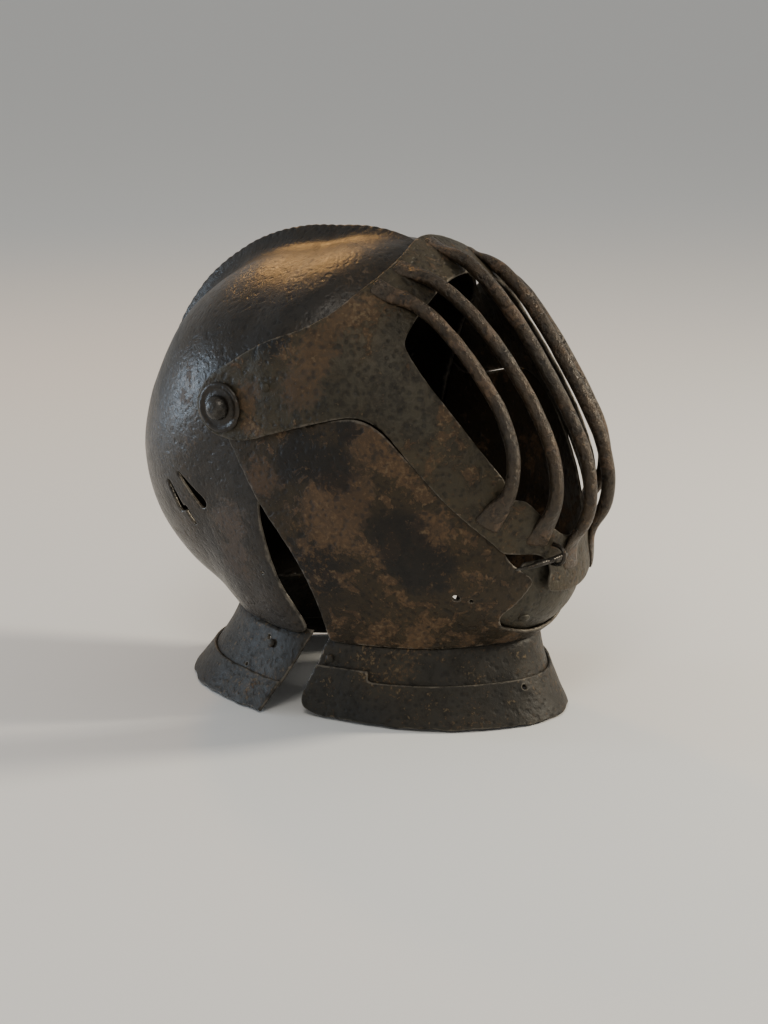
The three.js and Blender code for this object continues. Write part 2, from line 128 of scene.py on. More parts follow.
# Sheet metal: a round grid is moved onto the plate's surface, trimmed and given its thickness

def trimSheet(bm, signedOf, snapShare=0.3):
    bm.verts.index_update()
    value = signedOf(np.array([v.co[:] for v in bm.verts]))
    crossing = []
    for edge in bm.edges:
        first, second = edge.verts
        if (value[first.index] > 0) != (value[second.index] > 0):
            crossing.append((edge, first, second) if value[first.index] > 0 else (edge, second, first))
    kept = np.array([inner.co[:] for _, inner, _ in crossing])
    cut = np.array([outer.co[:] for _, _, outer in crossing])
    low, high = np.zeros(len(crossing)), np.ones(len(crossing))
    for _ in range(14):
        middle = (low + high) / 2
        within = signedOf(kept + (cut - kept) * middle[:, None]) > 0
        low, high = np.where(within, middle, low), np.where(within, high, middle)
    places = kept + (cut - kept) * low[:, None]
    onLine = {}
    for i, (_, inner, outer) in enumerate(crossing):
        for vert, share in ((inner, low[i]), (outer, 1 - low[i])):
            if share < snapShare and share < onLine.get(vert, (1.0,))[0]:
                onLine[vert] = (share, i)
    for vert, (_, i) in onLine.items():
        vert.co = places[i]
    line = set(onLine)
    outside = {vert for vert in bm.verts if value[vert.index] <= 0 and vert not in line}
    for i, (edge, inner, outer) in enumerate(crossing):
        if inner in onLine or outer in onLine:
            continue
        _, vert = bmesh.utils.edge_split(edge, inner, float(low[i]))
        vert.co = places[i]
        line.add(vert)
    bmesh.ops.connect_verts(bm, verts=list(line))
    gone = []
    for face in bm.faces:
        loose = [vert for vert in face.verts if vert not in line]
        if loose:
            if any(vert in outside for vert in loose):
                gone.append(face)
        elif signedOf(np.array([face.calc_center_median()[:]]))[0] <= 0:
            gone.append(face)
    bmesh.ops.delete(bm, geom=gone, context="FACES")
    bmesh.ops.dissolve_degenerate(bm, dist=0.02, edges=bm.edges)


def hammer(bm, depth, size):
    bm.normal_update()
    for vert in bm.verts:
        spot = vert.co / size
        blows = noise.noise(spot) + 0.5 * noise.noise(spot * 2.3 + Vector((7, 3, 5)))
        vert.co += vert.normal * depth * blows


def moveToFrame(bm):
    for vert in bm.verts:
        vert.co = toFrame(vert.co)


def pointOutwards(bm, centreOf):
    bmesh.ops.recalc_face_normals(bm, faces=bm.faces)
    turned = sum(face.normal.dot(face.calc_center_median() - centreOf(face.calc_center_median()))
                 * face.calc_area() for face in bm.faces)
    if turned < 0:
        bmesh.ops.reverse_faces(bm, faces=bm.faces)


def markRim(bm, reach=1.7):
    layer = bm.verts.layers.float.new("rim")
    edges = [vert for vert in bm.verts if vert.is_boundary]
    tree = kdtree.KDTree(max(len(edges), 1))
    for i, vert in enumerate(edges):
        tree.insert(vert.co, i)
    tree.balance()
    for vert in bm.verts:
        distance = tree.find(vert.co)[2] if edges else 1.0
        vert[layer] = math.exp(-((distance / mm / reach) ** 1.3))


def meshObject(bm, name):
    mesh = bpy.data.meshes.new(name)
    bm.to_mesh(mesh)
    bm.free()
    mesh.shade_smooth()
    made = bpy.data.objects.new(name, mesh)
    bpy.context.scene.collection.objects.link(made)
    return made


def smoothOut(made, levels=1):
    rounding = made.modifiers.new("rounding", "SUBSURF")
    rounding.levels = rounding.render_levels = levels


def sheetObject(bm, name, centreOf, crease=0.35):
    moveToFrame(bm)
    pointOutwards(bm, centreOf)
    markRim(bm)
    made = meshObject(bm, name)
    wall = made.modifiers.new("wall", "SOLIDIFY")
    wall.thickness, wall.offset = plateThickness * mm, -1
    wall.edge_crease_outer = wall.edge_crease_inner = crease
    smoothOut(made)
    return made


def solidObject(bm, name, rim):
    moveToFrame(bm)
    bmesh.ops.recalc_face_normals(bm, faces=bm.faces)
    layer = bm.verts.layers.float.new("rim")
    for vert in bm.verts:
        vert[layer] = rim
    made = meshObject(bm, name)
    smoothOut(made)
    return made


def pivotAxis(point):
    return Vector((point.x * 0.2, pivotY * mm, pivotZ * mm))


def neckAxis(point):
    return Vector((0, neckY * mm, point.z))


def placePiece(made, body, node, finish):
    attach(made, body)
    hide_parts(node)
    made.data.materials.append(finish)


def collarBody(name):
    return "bevor_body" if name.startswith("front") else "skull_body"


# Plates about the pivot axis

skullSheet = {
    "halfWidth": 100.0, "fullness": 2.0, "combHalfWidth": 6.0, "warp": 1.25, "cells": 50,
    "hammer": (0.22, 17.0),
    "rows": [(-90, 182, 0), (-75, 215, 0), (-50, 200, 0), (0, 140, 0), (30, 119, 0), (43, 114, 0),
             (54, 110.5, 1.5), (68, 97, 7.5), (83, 85.5, 11.5), (106, 82.5, 12.5), (132, 85.5, 13.5),
             (154, 92.5, 15.5), (174, 101.5, 17), (190, 115, 10), (206, 131.5, 2), (222, 144, 0),
             (238, 149.5, 0), (251, 153.5, 0), (270, 182, 0)],
    "frontEdge": [(42, -150), (39, -135), (34, -123), (26, -107), (22, -89), (19, -71), (19, -60), (24, -30),
                  (32, 0), (44, 26), (62, 46), (80, 66), (85, 80), (83, 100)],
    "slots": [dict(start=(-46, -49), end=(-29, -65), startRadius=1.5, endRadius=4.0),
              dict(start=(-58, -57), end=(-51, -72), startRadius=2.0, endRadius=3.4),
              dict(start=(-46, -72), end=(-41, -81), startRadius=2.0, endRadius=1.6)],
    "smallHole": (14, -103, 1.6),
    "notchPitch": 3.6, "notchDepth": 0.75, "notchWidth": 2.2, "notchSlant": 0.1,
}
visorSheet = {
    "halfWidth": 105.6, "fullness": 2.6, "warp": 1.0, "cells": 84, "hammer": (0.2, 13.0),
    "rows": [(-90, 214), (-40, 214), (-31, 208), (-27, 198), (-24, 193.5), (-21, 193), (-18.5, 191),
             (-14, 186), (-7, 174), (0, 162), (8, 151), (19, 139), (30, 130), (40, 124.5), (48, 121),
             (54.5, 119.5), (70, 118.5), (270, 118.5)],
    "upperEdge": [(4, 26), (27, 40), (49, 49), (63, 58), (71, 68), (77, 78), (78, 86), (74, 94), (60, 110)],
    "lowerEdge": [(186, -112), (177, -105.5), (172, -99), (166, -88), (159, -75.5), (152, -65), (144, -54),
                  (135, -43), (125, -30), (113, -16), (105, -7), (96, -1), (82, 1), (49, -8), (18, -18), (3, -19)],
    "lobe": [(-9, -16), (-17, -6), (-17, 6), (-9, 17), (4, 26)],
    "catchNotch": [(156, -76), (164, -79), (171, -81), (174, -88), (175, -97), (176, -114)],
    "notchEdge": -13.0,
    "opening": [(101, 80), (103.5, 65), (103, 53), (103, 44), (106, 38), (118, 23), (133, 5), (147, -13),
                (161, -33), (163, -41), (165.5, -45), (170.5, -47.5), (175, -57), (178, -67), (178.3, -74)],
    "patchEdge": 25.0, "patchHeight": 0.9, "patchWaves": [(2.2, 0.17), (1.2, 0.41)], "patchFade": (50, 90),
}
bevorSheet = {
    "halfWidth": 102.8, "fullness": 2.6, "warp": 1.0, "cells": 84, "hammer": (0.22, 15.0),
    "rows": [(-90, 196), (-75, 200), (-67, 205), (-60, 208), (-52, 208), (-46, 204.5), (-43, 206), (-40, 208),
             (-37, 210), (-34, 209), (-31, 204), (-27, 195.5), (-22, 189), (-10, 188), (0, 190), (90, 190),
             (270, 196)],
    "rearEdge": [(1, -16), (14, -40), (24, -57), (39, -78), (48, -94), (53, -108), (55.5, -121), (56, -136),
                 (55, -150)],
    "frontEdge": [(152, -126), (155, -118), (161, -112), (165, -107), (168, -101), (169, -96), (166, -91),
                  (161.5, -84)],
    "tail": [(40, -8), (22, 6), (8, 12), (-4, 12), (-12, 4), (-12, -5), (-6, -12)],
    "seamDrop": (-0.15, -0.5),
    "holes": [(138, -104, 2.0), (145, -106, 1.1)],
}
chinInset = plateThickness + 0.8
chinSheet = dict(bevorSheet, halfWidth=bevorSheet["halfWidth"] - chinInset, hammer=(0.2, 12.0),
                 rows=[(angle, radius - chinInset) for angle, radius in bevorSheet["rows"]])


def sheetRadius(sheet, degrees, across, outset=0.0):
    reach = min(abs(across) / (sheet["halfWidth"] + outset), 1.0)
    median = profileValue(sheet["rows"], 1, profileAngle(degrees)) + outset
    return median * (1 - reach**2) ** (1 / sheet["fullness"])


def sheetHalfWidth(sheet, forward, up):
    median = profileValue(sheet["rows"], 1, profileAngle(math.degrees(math.atan2(up, forward))))
    reach = math.hypot(forward, up) / median
    return sheet["halfWidth"] * math.sqrt(max(1 - reach ** sheet["fullness"], 0.0))


def sheetPoint(sheet, spot):
    share = math.atan2(spot.x, math.hypot(spot.y, spot.z)) / (math.pi / 2)
    latitude = math.copysign(abs(share) ** sheet["warp"], share) * math.pi / 2
    degrees = profileAngle(math.degrees(math.atan2(spot.z, spot.y)))
    across = sheet["halfWidth"] * math.sin(latitude)
    radius = profileValue(sheet["rows"], 1, degrees) * max(math.cos(latitude), 0.0) ** (2 / sheet["fullness"])
    if "combHalfWidth" in sheet:
        radius += combHeight(sheet, degrees, across)
    angle = math.radians(degrees)
    point = Vector((across, radius * math.cos(angle), radius * math.sin(angle)))
    if "patchEdge" in sheet:  # a worn lap beside the pivot lobe
        waves = sum(size * math.sin(point.z * rate) for size, rate in sheet["patchWaves"])
        lap = ease(-0.7, 0.7, point.y - sheet["patchEdge"] - waves)
        height = sheet["patchHeight"] * lap * (1 - ease(*sheet["patchFade"], point.y))
        point.x += math.copysign(height, point.x)
    return point


def combHeight(sheet, degrees, across):
    comb = profileValue(sheet["rows"], 2, degrees)
    height = comb * math.exp(-((abs(across) / sheet["combHalfWidth"]) ** 1.3))
    turn = 2 * math.pi * (degrees / sheet["notchPitch"] + across * sheet["notchSlant"])
    notch = (0.5 - 0.5 * math.cos(turn)) ** 2 * math.exp(-((across / sheet["notchWidth"]) ** 2))
    worn = 0.75 + 0.7 * noise.noise(Vector((degrees * 0.11, 2.0, 5.0)))
    return height - sheet["notchDepth"] * worn * notch * ease(1.5, 8, comb)


def roundGrid(sheet, signedOf, refine=()):
    bm = bmesh.new()
    bmesh.ops.create_cube(bm, size=2)
    bmesh.ops.subdivide_edges(bm, edges=bm.edges, cuts=sheet["cells"] - 1, use_grid_fill=True)
    for vert in bm.verts:
        vert.co = Vector([math.tan(value * math.pi / 4) for value in vert.co])
    centres = np.array([sheetPoint(sheet, face.calc_center_median())[:] for face in bm.faces])
    far = [face for face, value in zip(bm.faces, signedOf(centres)) if value < -9]
    bmesh.ops.delete(bm, geom=far, context="FACES")
    for test, cuts in refine:
        faces = [face for face in bm.faces if test(sheetPoint(sheet, face.calc_center_median()))]
        edges = {edge for face in faces for edge in face.edges}
        bmesh.ops.subdivide_edges(bm, edges=list(edges), cuts=cuts, use_grid_fill=True)
    for vert in bm.verts:
        vert.co = sheetPoint(sheet, vert.co)
    return bm


def roundHole(points, hole, side=-1):
    gap = np.hypot(points[:, 1] - hole[0], points[:, 2] - hole[1]) - hole[2]
    return np.where(points[:, 0] * side > 0, gap, 50.0)


def insideOutlines(keep, cuts=(), holes=(), slots=(), floorUp=None, notch=None):
    def signedOf(points):
        side = points[:, 1:]
        value = signedDistance(side, keep)
        for cutLine in cuts:
            value = np.minimum(value, -signedDistance(side, cutLine))
        for hole in holes:
            value = np.minimum(value, roundHole(points, hole))
        for slot in slots:
            value = np.minimum(value, slotDistance(side, slot))
        if floorUp is not None:
            value = np.minimum(value, points[:, 2] - floorUp)
        if notch:
            line, edge = notch
            value = np.where(points[:, 0] < edge, np.minimum(value, -signedDistance(side, line)), value)
        return value
    return signedOf


def nearSlots(slots, holes, reach):
    def test(point):
        side = np.array([[point.y, point.z]])
        gaps = [float(slotDistance(side, slot)[0]) for slot in slots]
        gaps += [math.hypot(point.y - f, point.z - u) - r if point.x < 0 else 99.0 for f, u, r in holes]
        return min(gaps) < reach
    return test


def beatPlate(sheet, name, outline, refine=()):
    bm = roundGrid(sheet, outline, refine)
    trimSheet(bm, outline)
    hammer(bm, *sheet["hammer"])
    return sheetObject(bm, name, pivotAxis)


def makeSkull():
    sheet = skullSheet
    holes = [sheet["smallHole"]]
    keep = smoothRun(sheet["frontEdge"]) + [(84, 140), (-220, 140), (-220, -150)]
    outline = insideOutlines(keep, holes=holes, slots=sheet["slots"], floorUp=neckUp)
    return beatPlate(sheet, "skull_plate", outline, [
        (lambda p: abs(p.x) < 5 and p.z > -20 and p.y < 70, 1),  # along the comb
        (nearSlots(sheet["slots"], holes, 3.0), 2)])


def makeVisor():
    sheet = visorSheet
    keep = (smoothRun(sheet["upperEdge"]) + [(240, 110), (240, -112)] + smoothRun(sheet["lowerEdge"])
            + smoothRun(sheet["lobe"]))
    opening = smoothRun(sheet["opening"]) + [(240, -76), (240, 82)]
    notch = smoothRun(sheet["catchNotch"]) + [(150, -114)]
    outline = insideOutlines(keep, cuts=[opening], notch=(notch, sheet["notchEdge"]))
    return beatPlate(sheet, "visor_plate", outline)


def makeBevor():
    sheet = bevorSheet
    dropF, dropU = sheet["seamDrop"]
    seam = [(f + dropF, u + dropU) for f, u in visorSheet["lowerEdge"][4:-3]]
    keep = (smoothRun(sheet["rearEdge"]) + [(240, -150), (240, -134), (158, -133)]
            + smoothRun(sheet["frontEdge"]) + smoothRun(seam + sheet["tail"] + sheet["rearEdge"][:1]))
    outline = insideOutlines(keep, holes=sheet["holes"], floorUp=neckUp)
    return beatPlate(sheet, "bevor_plate", outline, [(nearSlots([], sheet["holes"], 2.0), 2)])


def makeChinPlate():
    rear = [(f - 6, u - 1) for f, u in bevorSheet["frontEdge"][:5]]
    keep = smoothRun(rear) + [(164, -86), (240, -86), (240, -137), (150, -137)]
    return beatPlate(chinSheet, "chin_front", insideOutlines(keep))


# Tubes: bars, pin and staple

def tubePiece(name, route, sections, outwards, ring=14, roughness=0.0):
    bm = bmesh.new()
    steps = len(route) - 1
    bmesh.ops.create_grid(bm, x_segments=ring, y_segments=steps, size=1)
    for vert in bm.verts:
        turn = (vert.co.x + 1) * math.pi
        i = round((vert.co.y + 1) / 2 * steps)
        tangent = (route[min(i + 1, steps)] - route[max(i - 1, 0)]).normalized()
        outward = (outwards[i] - tangent * outwards[i].dot(tangent)).normalized()
        side = tangent.cross(outward)
        halfWidth, halfHeight = sections[i]
        offset = side * halfWidth * math.cos(turn) + outward * halfHeight * math.sin(turn)
        spot = (route[i] + offset) / 8
        vert.co = route[i] + offset * (1 + roughness * noise.noise(spot))
    bmesh.ops.remove_doubles(bm, verts=bm.verts, dist=0.005)
    bmesh.ops.holes_fill(bm, edges=[edge for edge in bm.edges if edge.is_boundary], sides=ring + 2)
    return solidObject(bm, name, 0.0)


barShape = {
    "diameter": 8.4, "middleShare": 0.38, "steps": 54, "roughness": 0.09,
    "headWidth": 6.2, "footWidth": 8.6, "endHeight": 3.0, "flareReach": 0.12, "footRun": 0.055,
    "rows": [(-31, 207.8), (-27, 201.8), (-24, 199.3), (-19, 200.3), (-14, 196.3), (-7, 185.8), (0, 172.3),
             (8.4, 158.8), (19, 146.8), (30, 137.8), (40.8, 130.8), (48, 124.8), (52, 121.8)],
    "bars": [
        dict(name="bar_1", head=-57, middle=-46.5, foot=-58, headAngle=37.5, footAngle=-18.5, strapAngle=43.6),
        dict(name="bar_2", head=-38, middle=-25.5, foot=-30, headAngle=42, footAngle=-20.5, strapAngle=46.2),
        dict(name="bar_3", head=0, middle=0, foot=0, headAngle=45.5, footAngle=-24.5, strapAngle=50.8),
        dict(name="bar_4", head=39, middle=30.5, foot=40, headAngle=42, footAngle=-28, strapAngle=46.2),
        dict(name="bar_5", head=56, middle=48.5, foot=60, headAngle=37.5, footAngle=-22, strapAngle=43.6)],
}


def visorPoint(across, degrees, outset=0.0):
    radius = sheetRadius(visorSheet, degrees, across, outset)
    angle = math.radians(degrees)
    return Vector((across, radius * math.cos(angle), radius * math.sin(angle)))


def visorOutward(across, degrees):
    along = visorPoint(across, degrees + 1) - visorPoint(across, degrees - 1)
    aside = visorPoint(across + 2, degrees) - visorPoint(across - 2, degrees)
    outward = along.cross(aside).normalized()
    return outward if outward.dot(visorPoint(across, degrees)) > 0 else -outward


def makeBar(bar):
    shape = barShape
    half, share, footRun = shape["diameter"] / 2, shape["middleShare"], shape["footRun"]
    rise = bar["headAngle"] - bar["footAngle"]
    headRun = (bar["strapAngle"] - bar["headAngle"]) / rise  # the beaten ends run on past the weld
    route, sections, outwards = [], [], []
    for i in range(shape["steps"] + 1):
        t = mix(-footRun, 1 + headRun, i / shape["steps"])
        degrees = bar["footAngle"] + rise * t
        end, span = (bar["foot"], share) if t < share else (bar["head"], 1 - share)
        across = mix(bar["middle"], end, (abs(t - share) / span) ** 1.5)
        resting = sheetRadius(visorSheet, degrees, across, half * 0.4)
        free = profileValue(shape["rows"], 1, degrees)
        free *= (1 - (across / visorSheet["halfWidth"]) ** 2) ** (1 / visorSheet["fullness"])
        fromMiddle = abs(2 * t - 1)
        flat = ease(1 - 2 * shape["flareReach"], 1 + 2 * footRun, fromMiddle)
        radius = mix(max(free, resting), resting, min(fromMiddle, 1.0) ** 5) - flat * half * 0.55
        angle = math.radians(degrees)
        route.append(Vector((across, radius * math.cos(angle), radius * math.sin(angle))))
        endWidth = shape["footWidth"] if t < 0.5 else shape["headWidth"]
        sections.append((mix(half, endWidth, flat), mix(half * 1.04, shape["endHeight"] / 2, flat**1.4)))
        outwards.append(visorOutward(across, degrees))
    return tubePiece(bar["name"] + "_rod", route, sections, outwards, roughness=shape["roughness"])


catchShape = {
    "pinRadius": 1.9, "pinStandoff": 2.4, "stapleRadius": 5.6, "wireRadius": 1.3,
    "pinRoute": [(-47, -27.4), (-38, -26.6), (-28, -25.8), (-18, -25.2), (-10, -24.8)],
    "stapleAt": (-18, -25.2),
}


def makeCatchPin():
    shape = catchShape
    stations = smoothRun(shape["pinRoute"], 6)
    last = len(stations) - 1
    route, sections, outwards = [], [], []
    for i, (across, degrees) in enumerate(stations):
        route.append(visorPoint(across, degrees, shape["pinStandoff"] + shape["pinRadius"]))
        along = i / last
        radius = shape["pinRadius"] * mix(0.45, 1.0, ease(0, 0.5, along)) * (1 - 0.35 * ease(0.93, 1, along))
        sections.append((radius, radius))
        outwards.append(visorOutward(across, degrees))
    return tubePiece("catch_pin_rod", route, sections, outwards, ring=10, roughness=0.06)


def makeCatchStaple():
    shape = catchShape
    across, degrees = shape["stapleAt"]
    base, outward = visorPoint(across, degrees), visorOutward(across, degrees)
    along = (visorPoint(across, degrees + 1) - base).normalized()
    reach, radius = shape["pinStandoff"] + shape["pinRadius"], shape["stapleRadius"]
    bend = radius * math.sqrt(0.5)
    corners = [(-radius, -1), (-radius, reach), (-bend, reach + bend), (0, reach + radius), (bend, reach + bend),
               (radius, reach), (radius, -1)]
    route = [base + along * a + outward * o for a, o in smoothRun(corners, 4)]
    aside = along.cross(outward)
    sections = [(shape["wireRadius"], shape["wireRadius"])] * len(route)
    return tubePiece("catch_staple_loop", route, sections, [aside] * len(route), ring=10, roughness=0.08)


# Collar plates about the neck

collarShape = {
    "front_collar_upper": dict(sheet=bevorSheet, bottom=21, top=51, stand=0.0, side=2, middle=18, curve=1.6),
    "front_collar_lower": dict(sheet=bevorSheet, bottom=1.35, top=33, stand=2.4, side=2, middle=18, curve=1.6),
    "rear_neck_plate": dict(sheet=skullSheet, bottom=16, top=51, stand=0.0, side=19, middle=32, curve=1.3),
    "rear_lower_lame": dict(sheet=skullSheet, bottom=1.35, top=20, stand=2.4, side=19, middle=32, curve=1.3),
}
collarEdges = {
    "front": [(56, -130), (53, -142), (47, -158), (39, -183), (72, -189), (76, -192)],
    "rear": [(40, -130), (39, -142), (13, -192)],
    "step": dict(forward=82, drop=6.5),
    "ragged": 1.1, "columns": 170, "levels": 16, "sweep": 150, "hammer": (0.18, 12.0),
    "lip": dict(start=45.6, end=48.4, tuck=2.6),  # the top edge tucks in behind the plate above
}
collarHoles = {
    "front_collar_lower": [dict(direction=-8.9, z=21.7, radius=2.0, lip=0.8)],
    "rear_neck_plate": [dict(direction=-129.1, z=21.5, radius=1.3, lip=0.3),
                        dict(direction=-121.9, z=40.6, radius=1.8, lip=0.5)],
}


def neckRadius(sheet, direction):
    near, far = 20.0, 200.0
    for _ in range(24):
        radius = (near + far) / 2
        forward = pivotY - neckY + radius * math.cos(direction)
        if sheetHalfWidth(sheet, forward, neckUp) > abs(radius * math.sin(direction)):
            near = radius
        else:
            far = radius
    return near


def collarPoint(shape, isFront, direction, z, neck=None):
    towards = max(math.cos(direction) if isFront else -math.cos(direction), 0.0) ** 2
    fall = max((neckZ - z) / neckZ, 0.0) ** shape["curve"]
    radius = neck if neck is not None else neckRadius(shape["sheet"], direction)
    radius += shape["stand"] + mix(shape["side"], shape["middle"], towards) * fall
    lip = collarEdges["lip"]
    radius -= lip["tuck"] * ease(lip["start"], lip["end"], z)
    return Vector((radius * math.sin(direction), pivotY - neckY + radius * math.cos(direction), z - pivotZ))


def chippedEdge(direction):
    chips = 0.5 + noise.noise(Vector((direction * 9, 4.0, 1.0)))
    chips += 0.6 * noise.noise(Vector((direction * 31, 2, 8)))
    return collarEdges["ragged"] * max(chips, 0.0)


def makeCollar(name):
    shape, isFront = collarShape[name], name.startswith("front")
    bm = bmesh.new()
    bmesh.ops.create_grid(bm, x_segments=collarEdges["columns"], y_segments=collarEdges["levels"], size=1)
    holes = [dict(hole, at=collarPoint(shape, isFront, math.radians(hole["direction"]), hole["z"]))
             for hole in collarHoles.get(name, [])]

    def degreesOf(point):
        return point.x * collarEdges["sweep"] + (0 if isFront else 180)

    near = [face for face in bm.faces for hole in holes
            if abs((degreesOf(face.calc_center_median()) - hole["direction"] + 180) % 360 - 180) < 5]
    if near:
        edges = {edge for face in near for edge in face.edges}
        bmesh.ops.subdivide_edges(bm, edges=list(edges), cuts=2, use_grid_fill=True)
    necks = {}
    for vert in bm.verts:
        direction = math.radians(degreesOf(vert.co))
        key = round(vert.co.x, 5)
        if key not in necks:
            necks[key] = neckRadius(shape["sheet"], direction)
        bottom = shape["bottom"] + (chippedEdge(direction) if shape["bottom"] < 5 else 0.0)
        z = mix(bottom, shape["top"], (vert.co.y + 1) / 2)
        vert.co = collarPoint(shape, isFront, direction, z, necks[key])
        for hole in holes:
            apart = (vert.co - hole["at"]).length / (hole["radius"] * 1.9)
            outward = (vert.co - Vector((0, pivotY - neckY, vert.co.z))).normalized()
            vert.co += outward * hole["lip"] * math.exp(-apart**4)
    far = 260 if isFront else -260
    keep = smoothRun(collarEdges["front" if isFront else "rear"]) + [(far, -192), (far, -130)]
    cuts = []
    if name == "front_collar_lower":
        start, top = collarEdges["step"]["forward"], shape["top"] - pivotZ
        low = top - collarEdges["step"]["drop"]
        cuts.append([(start, top + 4), (start, low), (far, low), (far, top + 4)])
    outlineOf = insideOutlines(keep, cuts=cuts)

    def signedOf(points):
        value = outlineOf(points)
        for hole in holes:
            gap = np.linalg.norm(points - np.array(hole["at"][:]), axis=1) - hole["radius"]
            value = np.minimum(value, gap)
        return value

    trimSheet(bm, signedOf)
    hammer(bm, *collarEdges["hammer"])
    return sheetObject(bm, name + "_plate", neckAxis)


# Turned pieces: washers and rivets

def turnedPiece(name, profile, place, steps=40, squash=1.0):
    bm = bmesh.new()
    verts = [bm.verts.new((radius, 0, height)) for radius, height in profile]
    edges = [bm.edges.new(pair) for pair in zip(verts, verts[1:])]
    bmesh.ops.spin(bm, geom=verts + edges, cent=(0, 0, 0), axis=(0, 0, 1), angle=2 * math.pi, steps=steps,
                   use_merge=True)
    bmesh.ops.remove_doubles(bm, verts=bm.verts, dist=0.002)
    bmesh.ops.scale(bm, vec=(1, squash, 1), verts=bm.verts)
    for vert in bm.verts:
        spot = Vector(vert.co) / 4
        vert.co *= 1 + 0.025 * noise.noise(spot)
    bmesh.ops.transform(bm, matrix=place, verts=bm.verts)
    return solidObject(bm, name, 0.25)


def standing(point, outward, upright=Vector((0, 0, 1))):
    outward = outward.normalized()
    side = upright.cross(outward).normalized()
    basis = Matrix((side, outward.cross(side), outward)).transposed().to_4x4()
    return Matrix.Translation(point) @ basis


pivotShape = {
    "base": 105.6 + 0.35,
    "washer": [(3.9, 0.0), (15.0, -0.1), (15.2, 0.9), (14.4, 1.9), (13.0, 2.2), (11.9, 1.7), (11.0, 1.3), (9.4, 1.4),
               (8.0, 1.9), (3.9, 1.9), (3.9, 0.0)],
    "rivet": [(0.0, -10.9), (3.0, -10.9), (3.0, 2.25), (7.2, 2.25), (7.6, 3.1), (7.2, 4.6), (6.2, 6.3), (4.6, 7.6),
              (2.4, 8.2), (0.0, 8.35)],
}
rivetShape = {
    "dome": [(0.0, 0.05), (0.9, 0.05), (1.0, 0.16), (0.93, 0.36), (0.74, 0.55), (0.42, 0.69), (0.0, 0.74)],
    "gap": 0.35, "steps": 24,
    "plate": [
        dict(name="visor_rivet_right", on="visor", forward=32, up=15, radius=3.0, side=-1, sink=0.15, squash=1.0),
        dict(name="visor_rivet_left", on="visor", forward=32, up=15, radius=3.0, side=1, sink=0.15, squash=1.0),
        dict(name="chin_rivet", on="chin", forward=161, up=-121, radius=3.91, side=-1, sink=1.0, squash=0.72)],
    "collar": [
        dict(name="front_collar_rivet_right", on="front_collar_upper", direction=-84, z=37.5, radius=2.8),
        dict(name="front_collar_rivet_left", on="front_collar_upper", direction=84, z=37.5, radius=2.8),
        dict(name="rear_collar_rivet_right", on="rear_neck_plate", direction=-118, z=38, radius=2.8),
        dict(name="rear_collar_rivet_left", on="rear_neck_plate", direction=118, z=38, radius=2.8)],
}


def rivetHead(rivet, point, outward, squash=1.0):
    dome = [(r * rivet["radius"], h * rivet["radius"]) for r, h in rivetShape["dome"]]
    raised = point + outward * (rivetShape["gap"] - rivet.get("sink", 0.0))
    return turnedPiece(rivet["name"] + "_head", dome, standing(raised, outward), rivetShape["steps"], squash)


def makePlateRivet(rivet, sheet):
    forward, up, side = rivet["forward"], rivet["up"], rivet["side"]

    def onFace(f, u):
        return Vector((side * sheetHalfWidth(sheet, f, u), f, u))

    point = onFace(forward, up)
    outward = (onFace(forward + 1, up) - point).cross(onFace(forward, up + 1) - point).normalized()
    if outward.x * side < 0:
        outward = -outward
    return rivetHead(rivet, point, outward, rivet["squash"])


def makeCollarRivet(rivet):
    shape, isFront = collarShape[rivet["on"]], rivet["on"].startswith("front")
    angle, z = math.radians(rivet["direction"]), rivet["z"]
    point = collarPoint(shape, isFront, angle, z)
    around = collarPoint(shape, isFront, angle + 0.02, z) - point
    outward = around.cross(collarPoint(shape, isFront, angle, z + 1) - point).normalized()
    if outward.dot(point - Vector((0, pivotY - neckY, point.z))) < 0:
        outward = -outward
    return rivetHead(rivet, point, outward)


# Finishes

class Wire:
    def __init__(self, paint, socket):
        self.paint, self.socket = paint, socket

    def combine(self, operation, other, swapped=False):
        pair = (other, self) if swapped else (self, other)
        return self.paint.add("ShaderNodeMath", {"operation": operation}, {0: pair[0], 1: pair[1]})

    def __add__(self, other): return self.combine("ADD", other)
    def __radd__(self, other): return self.combine("ADD", other, True)
    def __sub__(self, other): return self.combine("SUBTRACT", other)
    def __rsub__(self, other): return self.combine("SUBTRACT", other, True)
    def __mul__(self, other): return self.combine("MULTIPLY", other)
    def __rmul__(self, other): return self.combine("MULTIPLY", other, True)


class Paint:
    def __init__(self, name):
        self.material = bpy.data.materials.new(name)
        self.material.use_nodes = True
        self.tree = self.material.node_tree
        self.tree.nodes.clear()

    def add(self, kind, settings=None, sockets=None, out=0):
        node = self.tree.nodes.new(kind)
        for key, value in (settings or {}).items():
            setattr(node, key, value)
        for key, value in (sockets or {}).items():
            if isinstance(value, Wire):
                self.tree.links.new(value.socket, node.inputs[key])
            else:
                node.inputs[key].default_value = value
        return Wire(self, node.outputs[out]) if node.outputs else None

    def noise(self, where, scale, detail=4.0, roughness=0.55, distortion=0.0):
        return self.add("ShaderNodeTexNoise", {}, {"Vector": where, "Scale": scale, "Detail": detail,
                                                   "Roughness": roughness, "Distortion": distortion})

    def fade(self, value, low, high):
        return self.add("ShaderNodeMapRange", {"interpolation_type": "SMOOTHSTEP"},
                        {"Value": value, "From Min": low, "From Max": high})

    def distance(self, where, spot):
        return self.add("ShaderNodeVectorMath", {"operation": "DISTANCE"}, {0: where, 1: toFrame(spot)}, 1)

    def blend(self, share, first, second):
        return self.add("ShaderNodeMix", {"data_type": "RGBA"}, {0: share, 6: first, 7: second}, 2)


def rgb(red, green, blue):
    return (red, green, blue, 1.0)


